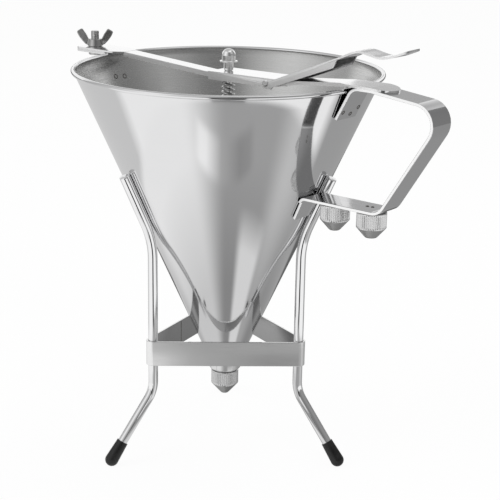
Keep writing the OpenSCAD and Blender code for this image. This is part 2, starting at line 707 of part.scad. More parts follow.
// Dome knob: a thin flange, a short straight part and a round top
module dome_knob() color("gainsboro") on_axis() difference() {
    straight = knob_h - knob_d / 2;
    union() {
        translate([0, 0, knob_z]) cylinder(d = knob_flange_d, h = knob_flange_h);
        translate([0, 0, knob_z]) cylinder(d = knob_d, h = knob_flange_h + straight);
        translate([0, 0, knob_z + knob_flange_h + straight]) sphere(d = knob_d);
    }
    translate([0, 0, knob_z - eps]) cylinder(d = rod_d + 2 * seam, h = rod_grip + eps + seam);
    translate([0, 0, knob_z - knob_d]) cylinder(d = knob_d * 2, h = knob_d);
}

// Return spring: one tube of six sides with eight rings a curl, upright at both ends
coil_r = (spring_d - wire_d) / 2;
rings = 8;
spring_z = spring_top_z - spring_h;
coil_h = spring_h - 2 * wire_d;
coil_steps = curls * rings;
function coil_point(i) =
    concat(polar(coil_r, i * 360 / rings), spring_z + wire_d + coil_h * i / coil_steps);
function coil_angle(k) = max(0, min(coil_steps, k - 1)) * 360 / rings;
spring_path = concat(
    [[coil_r, 0, spring_z]], [for (i = [0 : coil_steps]) coil_point(i)],
    [concat(polar(coil_r, coil_steps * 360 / rings), spring_top_z)]);

// Least gap of the spring to itself, measured from ring centre to ring centre
last_ring = len(spring_path) - 1;
spring_gap = min([for (i = [0 : last_ring - rings + 2])
    for (j = [i + rings - 2 : min(last_ring, i + rings + 2)])
    norm(spring_path[i] - spring_path[j])]) - wire_d;
echo("return_spring least gap to itself, mm", spring_gap);

module return_spring() color("gainsboro") on_axis()
    tube(spring_path, [for (k = [0 : last_ring]) concat(polar(1, coil_angle(k)), 0)], wire_d / 2, 6);

// One leg of bent wire: it leans on the cone, stands upright and splays out to its foot
leg_path = rounded_path(
    [[cone_r(leg_top_z) + lean_offset, leg_top_z], [stand_r, lean_z], [stand_r, splay_z],
        [foot_r, foot_z]],
    [0, lean_r, splay_r, 0], 0, 6);
module leg(a) color("silver") on_axis() rotate([0, 0, a])
    tube([for (q = leg_path) [q[0], 0, q[1]]], [for (q = leg_path) [0, 1, 0]], leg_r, 24);

// Rubber cap on the end of a leg, with a small flat that it stands on
module foot_cap(a) color("#202020") on_axis() rotate([0, 0, a]) difference() {
    translate([foot_r, 0, foot_z]) rotate([0, -splay_angle, 0]) difference() {
        union() {
            sphere(d = cap_d, $fn = 64);
            cylinder(d1 = cap_d, d2 = cap_mouth_d, h = cap_h, $fn = 64);
        }
        translate([0, 0, -seam]) cylinder(d = leg_d + 2 * seam, h = cap_h + eps, $fn = 48);
    }
    translate([foot_r, 0, -cap_d]) cube(2 * cap_d, center = true);
}

// Rounded triangle about the three legs
module about_legs(r) {
    for (a = leg_angles) translate(polar(stand_r, a)) circle(r = r);
    polygon([for (a = leg_angles) for (s = [-60, 60]) polar(stand_r, a) + polar(r, a + s)]);
}

module stand_band() color("silver") on_axis() translate([0, 0, band_z]) difference() {
    linear_extrude(band_h) about_legs(leg_r + seam + band_t);
    translate([0, 0, -eps]) linear_extrude(band_h + 2 * eps) about_legs(leg_r + seam);
}

funnel_cone();
outlet_ferrule();
outlet_nozzle();
spare_nozzle(spare_inner_x, spare_inner_tip_d, spare_inner_outlet_d);  // spare_nozzle_inner
spare_nozzle(spare_outer_x, spare_outer_tip_d, spare_outer_outlet_d);  // spare_nozzle_outer
stud(spare_inner_x);  // stud_inner
stud(spare_outer_x);  // stud_outer
handle_strap();
bridge_bracket();
clamp_bolt();
wing_nut();
bridge_bar();
lever();
pivot_pin();
valve_rod();
valve_plug();
return_spring();
spring_collar();
neck_nut();
dome_knob();
leg(leg_angles[0]);  // leg_right
leg(leg_angles[2]);  // leg_left
leg(leg_angles[1]);  // leg_back
foot_cap(leg_angles[0]);  // foot_cap_right
foot_cap(leg_angles[2]);  // foot_cap_left
foot_cap(leg_angles[1]);  // foot_cap_back
stand_band();
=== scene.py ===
import json
import math

import bmesh
import bpy
from mathutils import Matrix, Vector


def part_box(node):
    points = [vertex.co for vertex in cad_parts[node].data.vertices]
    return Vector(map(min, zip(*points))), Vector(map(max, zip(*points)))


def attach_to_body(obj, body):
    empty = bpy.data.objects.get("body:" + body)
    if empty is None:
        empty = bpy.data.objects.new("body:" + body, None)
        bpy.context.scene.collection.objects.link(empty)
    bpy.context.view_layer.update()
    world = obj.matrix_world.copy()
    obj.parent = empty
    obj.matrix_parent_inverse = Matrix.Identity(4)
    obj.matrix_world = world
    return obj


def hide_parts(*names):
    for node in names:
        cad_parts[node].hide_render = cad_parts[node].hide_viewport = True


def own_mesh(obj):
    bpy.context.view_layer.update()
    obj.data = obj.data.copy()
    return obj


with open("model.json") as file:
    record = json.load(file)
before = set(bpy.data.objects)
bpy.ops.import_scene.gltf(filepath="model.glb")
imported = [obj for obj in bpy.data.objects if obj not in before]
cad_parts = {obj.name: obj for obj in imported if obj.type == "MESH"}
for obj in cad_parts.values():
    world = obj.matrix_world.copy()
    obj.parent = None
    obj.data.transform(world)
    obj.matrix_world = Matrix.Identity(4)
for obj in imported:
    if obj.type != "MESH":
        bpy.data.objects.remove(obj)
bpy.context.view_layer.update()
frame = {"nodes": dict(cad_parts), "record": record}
bodyOf = {node: body for body, nodes in frame["record"]["behaviour"]["bodies"].items() for node in nodes}
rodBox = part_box("valve_rod")
axisX = (rodBox[0].x + rodBox[1].x) / 2
print("frame loaded,", len(frame["nodes"]), "CAD nodes")


# Small helpers for the node trees

def plug(tree, source, target):
    tree.links.new(source, target)


def setInput(tree, socket, value):
    if isinstance(value, bpy.types.NodeSocket):
        tree.links.new(value, socket)
    elif value is not None:
        socket.default_value = value


def calc(tree, operation, a, b=None):
    step = tree.nodes.new("ShaderNodeMath")
    step.operation = operation
    for socket, value in zip(step.inputs, (a, b)):
        setInput(tree, socket, value)
    return step.outputs[0]


def product(tree, first, *others):
    for other in others:
        first = calc(tree, "MULTIPLY", first, other)
    return first


def grey(tone):
    return (tone, tone, tone, 1.0)


def ramp(tree, value, stops, kind="EASE"):
    node = tree.nodes.new("ShaderNodeValToRGB")
    node.color_ramp.interpolation = kind
    points = node.color_ramp.elements
    while len(points) < len(stops):
        points.new(0.5)
    for point, (place, tone) in zip(points, stops):
        point.position = place
        point.color = grey(tone)
    setInput(tree, node.inputs[0], value)
    return node.outputs[0]


def spread(tree, value, low, high, toLow, toHigh):
    node = tree.nodes.new("ShaderNodeMapRange")
    for socket, number in zip(node.inputs, (value, low, high, toLow, toHigh)):
        setInput(tree, socket, number)
    return node.outputs[0]


def blendTones(tree, share, a, b):
    node = tree.nodes.new("ShaderNodeMix")
    node.data_type = "RGBA"
    setInput(tree, node.inputs[0], share)
    setInput(tree, node.inputs[6], a)
    setInput(tree, node.inputs[7], b)
    return node.outputs[2]


def noise(tree, vector, scale, detail=2.0):
    node = tree.nodes.new("ShaderNodeTexNoise")
    setInput(tree, node.inputs["Vector"], vector)
    setInput(tree, node.inputs["Scale"], scale)
    node.inputs["Detail"].default_value = detail
    return node.outputs[0]


def reachOf(tree, x, y):
    return calc(tree, "SQRT", calc(tree, "ADD", calc(tree, "MULTIPLY", x, x), calc(tree, "MULTIPLY", y, y)))


def within(tree, value, low, lowIn, highIn, high):
    return product(tree, spread(tree, value, low, lowIn, 0.0, 1.0), spread(tree, value, highIn, high, 1.0, 0.0))


def groupSockets(tree, inputs, outputs):
    for name, kind, value in inputs:
        socket = tree.interface.new_socket(name=name, in_out="INPUT", socket_type=kind)
        if value is not None:
            socket.default_value = value
    for name, kind in outputs:
        tree.interface.new_socket(name=name, in_out="OUTPUT", socket_type=kind)
    return tree.nodes.new("NodeGroupInput"), tree.nodes.new("NodeGroupOutput")


def paintAndEnd(tree, shape, start, end):
    real = tree.nodes.new("GeometryNodeRealizeInstances")
    plug(tree, shape, real.inputs[0])
    paint = tree.nodes.new("GeometryNodeSetMaterial")
    plug(tree, real.outputs[0], paint.inputs["Geometry"])
    plug(tree, start.outputs["Material"], paint.inputs["Material"])
    plug(tree, paint.outputs[0], end.inputs["Geometry"])


def sweepWire(tree, path, start):
    ring = tree.nodes.new("GeometryNodeCurvePrimitiveCircle")
    plug(tree, start.outputs["Sides"], ring.inputs["Resolution"])
    plug(tree, start.outputs["Wire"], ring.inputs["Radius"])
    wire = tree.nodes.new("GeometryNodeCurveToMesh")
    plug(tree, path, wire.inputs["Curve"])
    plug(tree, ring.outputs[0], wire.inputs["Profile Curve"])
    wire.inputs["Fill Caps"].default_value = True
    return wire.outputs[0]


def addObject(name, data):
    piece = bpy.data.objects.new(name, data)
    bpy.context.scene.collection.objects.link(piece)
    return piece


# Grain and turning marks, used by most of the metals

def makeGrain():
    tree = bpy.data.node_groups.new("grainLines", "ShaderNodeTree")
    start, end = groupSockets(tree, [
        ("Vector", "NodeSocketVector", None), ("Stretch", "NodeSocketVector", (1, 1, 1)),
        ("Scale", "NodeSocketFloat", 400.0)], [("Lines", "NodeSocketFloat")])
    scaled = tree.nodes.new("ShaderNodeVectorMath")
    scaled.operation = "MULTIPLY"
    plug(tree, start.outputs["Vector"], scaled.inputs[0])
    plug(tree, start.outputs["Stretch"], scaled.inputs[1])
    plug(tree, noise(tree, scaled.outputs[0], start.outputs["Scale"], 3.0), end.inputs["Lines"])
    return tree


def makeTurned():
    tree = bpy.data.node_groups.new("turnedAbout", "ShaderNodeTree")
    start, end = groupSockets(tree, [
        ("Vector", "NodeSocketVector", None), ("Centre X", "NodeSocketFloat", 0.0),
        ("Centre Y", "NodeSocketFloat", 0.0)], [("Vector", "NodeSocketVector")])
    parts = tree.nodes.new("ShaderNodeSeparateXYZ")
    plug(tree, start.outputs["Vector"], parts.inputs[0])
    x = calc(tree, "SUBTRACT", parts.outputs[0], start.outputs["Centre X"])
    y = calc(tree, "SUBTRACT", parts.outputs[1], start.outputs["Centre Y"])
    reach = calc(tree, "MAXIMUM", reachOf(tree, x, y), 0.0001)    # never zero on the axis
    joined = tree.nodes.new("ShaderNodeCombineXYZ")
    plug(tree, calc(tree, "DIVIDE", x, reach), joined.inputs[0])
    plug(tree, calc(tree, "DIVIDE", y, reach), joined.inputs[1])
    plug(tree, calc(tree, "ADD", parts.outputs[2], calc(tree, "MULTIPLY", reach, 0.5)), joined.inputs[2])
    plug(tree, joined.outputs[0], end.inputs["Vector"])
    return tree


grainLines = makeGrain()
turnedAbout = makeTurned()


def blankMaterial(name):
    material = bpy.data.materials.new(name)
    material.use_nodes = True
    material.node_tree.nodes.clear()
    return material, material.node_tree


def newMaterial(name):
    material, tree = blankMaterial(name)
    shader = tree.nodes.new("ShaderNodeBsdfPrincipled")
    output = tree.nodes.new("ShaderNodeOutputMaterial")
    plug(tree, shader.outputs[0], output.inputs[0])
    return material, tree, shader


def addBump(tree, shader, height, depth, strength):
    bump = tree.nodes.new("ShaderNodeBump")
    bump.inputs["Distance"].default_value = depth
    bump.inputs["Strength"].default_value = strength
    plug(tree, height, bump.inputs["Height"])
    plug(tree, bump.outputs[0], shader.inputs["Normal"])


# The mottle darkens the tone a little and dulls the gloss; the lines wander the gloss and are pressed in
metalShape = {"mottle": 60.0, "mottleFrom": 0.35, "mottleTo": 0.7, "darker": 4, "lineFrom": 0.3, "lineTo": 0.7,
              "leastRough": 0.02, "press": 0.6}


def metal(name, tone, rough, grain, scale, depth, marks, roughSpread, patchTone, turned=False):
    material, tree, shader = newMaterial(name)
    coords = tree.nodes.new("ShaderNodeTexCoord").outputs["Object"]
    lineCoords = coords
    if turned:
        about = tree.nodes.new("ShaderNodeGroup")
        about.node_tree = turnedAbout
        about.inputs["Centre X"].default_value = axisX
        plug(tree, coords, about.inputs["Vector"])
        lineCoords = about.outputs[0]
    lines = tree.nodes.new("ShaderNodeGroup")
    lines.node_tree = grainLines
    plug(tree, lineCoords, lines.inputs["Vector"])
    lines.inputs["Stretch"].default_value = grain
    lines.inputs["Scale"].default_value = scale
    blotches = noise(tree, coords, metalShape["mottle"], 3.0)
    mottle = spread(tree, blotches, metalShape["mottleFrom"], metalShape["mottleTo"], 0.0, 1.0)
    dull = [part * patchTone for part in tone]
    darker = calc(tree, "MULTIPLY", mottle, marks * metalShape["darker"])
    colour = blendTones(tree, darker, (*tone, 1), (*dull, 1))
    plug(tree, colour, shader.inputs["Base Color"])
    shader.inputs["Metallic"].default_value = 1.0
    wear = spread(tree, lines.outputs["Lines"], metalShape["lineFrom"], metalShape["lineTo"],
                  rough - roughSpread, rough + roughSpread)
    worn = calc(tree, "ADD", wear, calc(tree, "MULTIPLY", mottle, marks))
    plug(tree, calc(tree, "MAXIMUM", worn, metalShape["leastRough"]), shader.inputs["Roughness"])
    addBump(tree, shader, lines.outputs["Lines"], depth, metalShape["press"])
    return material


rubberShape = {"patches": 220.0, "tones": [(0.35, 0.004), (0.7, 0.010)], "rough": (0.28, 0.42), "pores": 1500.0,
               "depth": 0.00005, "press": 0.4}


def rubber(name):
    material, tree, shader = newMaterial(name)
    coords = tree.nodes.new("ShaderNodeTexCoord").outputs["Object"]
    patch = noise(tree, coords, rubberShape["patches"], 4.0)
    plug(tree, ramp(tree, patch, rubberShape["tones"]), shader.inputs["Base Color"])
    plug(tree, spread(tree, patch, 0.3, 0.7, *rubberShape["rough"]), shader.inputs["Roughness"])
    pores = noise(tree, coords, rubberShape["pores"])
    addBump(tree, shader, pores, rubberShape["depth"], rubberShape["press"])
    return material


# Tone and roughness, how far they wander, then the grain: its stretch, its scale and how deep it is pressed in
metals = {
    "funnelOutside": {
        "tone": (0.80, 0.80, 0.805), "rough": 0.06, "roughSpread": 0.012, "patchTone": 0.97, "marks": 0.03,
        "grain": (1.2, 1.2, 900), "scale": 3.0, "depth": 0.0000015, "turned": True},
    # The inside is satin, rougher than the outside; its darker tone is painted shade inside the cone
    "funnelInsideSatinPaintedShade": {
        "tone": (0.60, 0.60, 0.595), "rough": 0.26, "roughSpread": 0.07, "patchTone": 0.94, "marks": 0.03,
        "grain": (2.0, 2.0, 1500), "scale": 3.0, "depth": 0.000004, "turned": True},
    "polishedStrap": {
        "tone": (0.64, 0.64, 0.645), "rough": 0.07, "roughSpread": 0.02, "patchTone": 0.95, "marks": 0.03,
        "grain": (30, 500, 500), "scale": 1.0, "depth": 0.000002},
    "bridgeSteel": {
        "tone": (0.92, 0.92, 0.925), "rough": 0.10, "roughSpread": 0.02, "patchTone": 0.95, "marks": 0.03,
        "grain": (30, 500, 500), "scale": 1.0, "depth": 0.000002},
    "leverSteel": {
        "tone": (0.94, 0.94, 0.945), "rough": 0.09, "roughSpread": 0.02, "patchTone": 0.97, "marks": 0.03,
        "grain": (30, 500, 500), "scale": 1.0, "depth": 0.000002},
    "turnedSteel": {
        "tone": (0.86, 0.86, 0.86), "rough": 0.05, "roughSpread": 0.04, "patchTone": 0.95, "marks": 0.04,
        "grain": (1, 1, 1500), "scale": 3.0, "depth": 0.000003, "turned": True},
    "knobSteel": {
        "tone": (0.90, 0.90, 0.90), "rough": 0.04, "roughSpread": 0.015, "patchTone": 0.97, "marks": 0.03,
        "grain": (1, 1, 1500), "scale": 3.0, "depth": 0.0000005, "turned": True},
    "flangeSteel": {
        "tone": (0.97, 0.97, 0.97), "rough": 0.42, "roughSpread": 0.04, "patchTone": 0.98, "marks": 0.02,
        "grain": (30, 500, 500), "scale": 1.0, "depth": 0.000002},
    # A dark tone on the grip's inner faces, which face the funnel: painted shade
    "gripInsidePaintedShade": {
        "tone": (0.24, 0.24, 0.24), "rough": 0.16, "roughSpread": 0.03, "patchTone": 0.92, "marks": 0.03,
        "grain": (30, 500, 500), "scale": 1.0, "depth": 0.000002},
    # A darker tone on the band's inner faces: painted shade inside the ring
    "bandInsidePaintedShade": {
        "tone": (0.42, 0.42, 0.42), "rough": 0.18, "roughSpread": 0.03, "patchTone": 0.92, "marks": 0.03,
        "grain": (90, 90, 1600), "scale": 1.0, "depth": 0.000002},
    "nozzleBand": {
        "tone": (0.76, 0.76, 0.76), "rough": 0.27, "roughSpread": 0.05, "patchTone": 0.93, "marks": 0.05,
        "grain": (1, 1, 1200), "scale": 3.0, "depth": 0.000006, "turned": True},
    # The nozzle's down-facing tip takes a darker tone: painted shade under it
    "nozzleTipPaintedShade": {
        "tone": (0.46, 0.46, 0.455), "rough": 0.27, "roughSpread": 0.05, "patchTone": 0.93, "marks": 0.05,
        "grain": (1, 1, 1200), "scale": 3.0, "depth": 0.000006, "turned": True},
    "platedScrew": {
        "tone": (0.50, 0.50, 0.495), "rough": 0.08, "roughSpread": 0.06, "patchTone": 0.75, "marks": 0.12,
        "grain": (1, 1, 1), "scale": 500.0, "depth": 0.00002},
    "springWire": {
        "tone": (0.70, 0.70, 0.70), "rough": 0.10, "roughSpread": 0.04, "patchTone": 0.9, "marks": 0.05,
        "grain": (1, 1, 1), "scale": 600.0, "depth": 0.000005},
    "standWire": {
        "tone": (0.88, 0.88, 0.885), "rough": 0.04, "roughSpread": 0.012, "patchTone": 0.96, "marks": 0.02,
        "grain": (60, 60, 800), "scale": 1.0, "depth": 0.000001},
    "bandSteel": {
        "tone": (0.86, 0.86, 0.86), "rough": 0.09, "roughSpread": 0.03, "patchTone": 0.95, "marks": 0.03,
        "grain": (90, 90, 1600), "scale": 1.0, "depth": 0.000002},
    "cutEdge": {
        "tone": (0.94, 0.94, 0.94), "rough": 0.14, "roughSpread": 0.03, "patchTone": 0.97, "marks": 0.02,
        "grain": (200, 200, 200), "scale": 1.0, "depth": 0.000002},
    "weldMark": {
        "tone": (0.22, 0.21, 0.20), "rough": 0.30, "roughSpread": 0.05, "patchTone": 0.7, "marks": 0.1,
        "grain": (1, 1, 1), "scale": 900.0, "depth": 0.00001},
}
finishes = {name: metal(name, **settings) for name, settings in metals.items()}
finishes["rubberBlack"] = rubber("rubberBlack")
print("finishes made,", len(finishes))


# Helpers that copy a CAD shape, finish it and hand it over

def nodeCopy(node, name):
    mesh = frame["nodes"][node].data.copy()
    mesh.name = name
    work = bmesh.new()
    work.from_mesh(mesh)
    bmesh.ops.remove_doubles(work, verts=work.verts, dist=0.000002)
    work.to_mesh(mesh)
    work.free()
    mesh.materials.clear()
    return addObject(name, mesh)


def settle(piece):
    picture = bpy.context.evaluated_depsgraph_get()
    mesh = bpy.data.meshes.new_from_object(piece.evaluated_get(picture))
    old = piece.data
    piece.modifiers.clear()
    piece.data = mesh
    mesh.name = piece.name
    if old.users == 0:
        bpy.data.meshes.remove(old)


def attach(piece, nodes, material=None):
    if material is not None:
        piece.data.materials.clear()
        piece.data.materials.append(material)
    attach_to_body(piece, bodyOf[nodes[0]])
    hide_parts(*nodes)


def smooth(mesh, angle=None):
    mesh.polygons.foreach_set("use_smooth", [True] * len(mesh.polygons))
    if angle is not None:
        mesh.set_sharp_from_angle(angle=math.radians(angle))


# Angles in degrees, areas in square metres; a bend between two faces over crispArea stays crisp
edgeShape = {"segments": 3, "flat": 0.5, "bevelFrom": 28, "crispArea": 0.0001, "crispFrom": 10, "crispTo": 40,
             "sideNormal": 0.95, "webNormal": 0.6}


# Rounds the long bends where a level web turns down into an upright side
def roundTops(piece, radius, segments):
    work = bmesh.new()
    work.from_mesh(piece.data)
    bmesh.ops.dissolve_limit(work, angle_limit=math.radians(edgeShape["flat"]), verts=work.verts, edges=work.edges)
    bends = []
    for edge in work.edges:
        if len(edge.link_faces) == 2:
            one, other = sorted(edge.link_faces, key=lambda face: face.normal.z)
            upright, level = abs(one.normal.y) > edgeShape["sideNormal"], other.normal.z > edgeShape["webNormal"]
            if upright and level and edge.is_convex:
                bends.append(edge)
    bmesh.ops.bevel(work, geom=bends, offset=radius, offset_type="OFFSET", segments=segments, profile=0.5,
                    affect="EDGES", clamp_overlap=True)
    work.to_mesh(piece.data)
    work.free()


# Tests for the faces that take a second finish

def isCutEdge(face):
    return abs(face.normal.y) > 0.9


# Inner faces of the grip, which take a painted shade
def isGripInside(face):
    return face.normal.x < -0.3 and face.center.x > axisX + 0.085


# Inner faces of the band, which take a painted shade
def isBandInside(face):
    return (face.center.x - axisX) * face.normal.x + face.center.y * face.normal.y < -0.01


def bevelledCopy(node, name, width, material, tops, extras):
    piece = nodeCopy(node, name)
    if tops is not None:
        roundTops(piece, *tops)
    work = bmesh.new()
    work.from_mesh(piece.data)
    bmesh.ops.dissolve_limit(work, angle_limit=math.radians(edgeShape["flat"]), verts=work.verts, edges=work.edges)
    work.faces.index_update()
    crisp = set()
    for bend in work.edges:
        if len(bend.link_faces) == 2 and min(face.calc_area() for face in bend.link_faces) > edgeShape["crispArea"]:
            if edgeShape["crispFrom"] < math.degrees(bend.calc_face_angle(0.0)) < edgeShape["crispTo"]:
                crisp.update(face.index for face in bend.link_faces)
    work.to_mesh(piece.data)
    work.free()
    smooth(piece.data)
    for index in crisp:
        piece.data.polygons[index].use_smooth = False
    bevel = piece.modifiers.new("edges", "BEVEL")
    bevel.width = width
    bevel.segments = edgeShape["segments"]
    bevel.limit_method = "ANGLE"
    bevel.angle_limit = math.radians(edgeShape["bevelFrom"])
    bevel.miter_outer = "MITER_ARC"
    bevel.harden_normals = False
    shade = piece.modifiers.new("shade", "WEIGHTED_NORMAL")
    shade.keep_sharp = True
    settle(piece)
    attach(piece, [node], material)
    for index, (extra, isHere) in enumerate(extras):
        piece.data.materials.append(finishes[extra])
        for face in piece.data.polygons:
            if isHere(face):
                face.material_index = index + 1


def turnedMesh(name, profile, steps, x):
    mesh = bpy.data.meshes.new(name)
    points, faces, rows = [], [], len(profile)
    for step in range(steps):
        angle = 2 * math.pi * step / steps
        points += [(x + r * math.cos(angle), r * math.sin(angle), z) for r, z in profile]
    for step in range(steps):
        a, b = step * rows, (step + 1) % steps * rows
        for row in range(rows):
            up = (row + 1) % rows
            faces.append((a + row, b + row, b + up, a + up))
    mesh.from_pydata(points, [], faces)
    mesh.update()
    return mesh


def arc(centreR, centreZ, radius, start, stop, steps):
    angles = [math.radians(start + (stop - start) * k / steps) for k in range(steps + 1)]
    return [(centreR + radius * math.cos(a), centreZ + radius * math.sin(a)) for a in angles]


def fixNormals(mesh):
    work = bmesh.new()
    work.from_mesh(mesh)
    bmesh.ops.remove_doubles(work, verts=work.verts, dist=0.000001)
    bmesh.ops.recalc_face_normals(work, faces=work.faces)
    work.to_mesh(mesh)
    work.free()


# The funnel is one turned sheet with a rolled rim

funnelSheet = {"steps": 288, "rows": 48, "wall": 0.001, "halfAngle": 24, "bead": 0.0014, "beadSteps": 28,
               "beadFrom": -118, "beadClear": 1.15, "insideClear": 0.0006}


def makeFunnel():
    low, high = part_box("funnel_cone")
    bead, lean = funnelSheet["bead"], math.radians(funnelSheet["halfAngle"])
    footZ, rimZ = low.z, high.z - bead
    slope = math.tan(lean)
    wall = funnelSheet["wall"] / math.cos(lean)
    sheetR = high.x - axisX - bead
    footR = sheetR - (rimZ - footZ) * slope
    rows = funnelSheet["rows"]
    line = [((sheetR - footR) * k / rows, footZ + (rimZ - footZ) * k / rows) for k in range(rows)]
    # The outside runs into the rolled bead, which curls over and ends on the inside of the sheet
    outside = [(footR + out, z) for out, z in line if z < rimZ - bead * funnelSheet["beadClear"]]
    curl = arc(sheetR, rimZ, bead, funnelSheet["beadFrom"], 180 + funnelSheet["halfAngle"], funnelSheet["beadSteps"])
    inside = [(footR - wall + out, z) for out, z in line if z < curl[-1][1] - funnelSheet["insideClear"]]
    profile = outside + curl + inside[::-1]
    mesh = turnedMesh("funnelShell", profile, funnelSheet["steps"], axisX)
    fixNormals(mesh)
    smooth(mesh, 60)
    mesh.materials.append(finishes["funnelOutside"])
    mesh.materials.append(finishes["funnelInsideSatinPaintedShade"])
    # Faces inside the cone take the satin finish with its painted shade
    for face in mesh.polygons:
        c = face.center
        reach = math.hypot(c.x - axisX, c.y)
        mid = footR - wall / 2 + (c.z - footZ) * slope
        face.material_index = 1 if reach < mid and c.z < rimZ + bead * 0.2 else 0
    attach(addObject("funnelShell", mesh), ["funnel_cone"])


makeFunnel()
print("funnel made")


# A nozzle is a turned body whose straight part is knurled by a tree

def makeKnurlTree():
    tree = bpy.data.node_groups.new("uprightKnurl", "GeometryNodeTree")
    start, end = groupSockets(tree, [
        ("Geometry", "NodeSocketGeometry", None), ("Centre X", "NodeSocketFloat", 0.0),
        ("Low", "NodeSocketFloat", 0.0), ("High", "NodeSocketFloat", 0.0), ("Radius", "NodeSocketFloat", 0.01),
        ("Ribs", "NodeSocketFloat", 60.0), ("Depth", "NodeSocketFloat", 0.0002),
        ("Material", "NodeSocketMaterial", None)], [("Geometry", "NodeSocketGeometry")])
    place = tree.nodes.new("GeometryNodeInputPosition")
    parts = tree.nodes.new("ShaderNodeSeparateXYZ")
    plug(tree, place.outputs[0], parts.inputs[0])
    x = calc(tree, "SUBTRACT", parts.outputs[0], start.outputs["Centre X"])
    y, z = parts.outputs[1], parts.outputs[2]
    turn = calc(tree, "MULTIPLY", calc(tree, "ARCTAN2", y, x), start.outputs["Ribs"])
    wave = calc(tree, "MULTIPLY", calc(tree, "ADD", calc(tree, "COSINE", turn), 1.0), 0.5)
    reach = reachOf(tree, x, y)
    outside = calc(tree, "GREATER_THAN", reach, calc(tree, "SUBTRACT", start.outputs["Radius"], nozzleShape["skin"]))
    inBand = calc(tree, "MULTIPLY", calc(tree, "GREATER_THAN", z, start.outputs["Low"]),
                  calc(tree, "LESS_THAN", z, start.outputs["High"]))
    cut = product(tree, wave, start.outputs["Depth"], inBand, outside)
    push = calc(tree, "DIVIDE", calc(tree, "MULTIPLY", cut, -1.0), reach)
    offset = tree.nodes.new("ShaderNodeCombineXYZ")
    plug(tree, calc(tree, "MULTIPLY", x, push), offset.inputs[0])
    plug(tree, calc(tree, "MULTIPLY", y, push), offset.inputs[1])
    move = tree.nodes.new("GeometryNodeSetPosition")
    plug(tree, start.outputs["Geometry"], move.inputs["Geometry"])
    plug(tree, offset.outputs[0], move.inputs["Offset"])
    paintAndEnd(tree, move.outputs[0], start, end)
    return tree


def useTree(piece, tree, values):
    holder = piece.modifiers.new(tree.name, "NODES")
    holder.node_group = tree
    for item in tree.interface.items_tree:
        if item.in_out == "INPUT" and item.name in values:
            holder[item.identifier] = values[item.name]
    settle(piece)


nozzleShape = {"ribs": 44, "perRib": 8, "depth": 0.0003, "skin": 0.00005, "edge": 0.0004, "knurlH": 0.0092,
               "rows": 14, "tipRows": 8, "wall": 0.0015, "angle": 41.0, "boreR": 0.00695}
knurlTree = makeKnurlTree()
nozzles = [{"node": "outlet_nozzle", "name": "nozzleFitted", "tipR": 0.0025, "outletR": 0.0017},
           {"node": "spare_nozzle_inner", "name": "nozzleSpareInner", "tipR": 0.0032, "outletR": 0.0024},
           {"node": "spare_nozzle_outer", "name": "nozzleSpareOuter", "tipR": 0.0036, "outletR": 0.0028}]


def makeNozzle(node, name, tipR, outletR):
    low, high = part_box(node)
    x = (low.x + high.x) / 2
    radius = (high.x - low.x) / 2
    top, tip = high.z, low.z
    edge, boreR = nozzleShape["edge"], nozzleShape["boreR"]
    shoulder = top - nozzleShape["knurlH"]
    slope = math.tan(math.radians(nozzleShape["angle"]))
    inset = nozzleShape["wall"] / math.cos(math.radians(nozzleShape["angle"]))
    threadEnd = shoulder - (radius - inset - boreR) / slope
    throat = shoulder - (radius - inset - outletR) / slope
    rows, tipRows = nozzleShape["rows"], nozzleShape["tipRows"]
    outer = [(boreR + edge, top), (radius - edge, top)] + arc(radius - edge, top - edge, edge, 60, 0, 2)
    outer += [(radius, top - edge - (top - edge - shoulder - edge * 0.5) * k / rows) for k in range(1, rows + 1)]
    outer += [(radius - edge * 0.25, shoulder - edge * 0.25)]
    outer += [(radius - (radius - tipR) * k / tipRows, shoulder - (shoulder - tip) * k / tipRows)
              for k in range(1, tipRows)]
    outer += [(tipR + edge * 0.3, tip + edge * 0.5), (tipR - edge * 0.3, tip)]
    outer += [(outletR + edge * 0.5, tip), (outletR, tip + edge * 0.5)]
    inner = [(outletR, throat), (boreR, threadEnd), (boreR, top - edge)]
    mesh = turnedMesh(name, outer + inner, nozzleShape["ribs"] * nozzleShape["perRib"], x)
    fixNormals(mesh)
    smooth(mesh, 35)
    piece = addObject(name, mesh)
    useTree(piece, knurlTree, {
        "Centre X": x, "Low": shoulder + edge, "High": top - edge * 1.2, "Radius": radius,
        "Ribs": float(nozzleShape["ribs"]), "Depth": nozzleShape["depth"], "Material": finishes["nozzleBand"]})
    piece.data.materials.append(finishes["nozzleTipPaintedShade"])
    # Down-facing faces at the tip take the painted shade
    for face in piece.data.polygons:
        face.material_index = 1 if face.normal.z < -0.4 and face.center.z < shoulder + edge else 0
    attach(piece, [node])


for nozzle in nozzles:
    makeNozzle(**nozzle)
print("nozzles made")


def emptyPiece(name):
    return addObject(name, bpy.data.meshes.new(name))


# Wire that follows a spiral makes the return spring and the bolt's thread

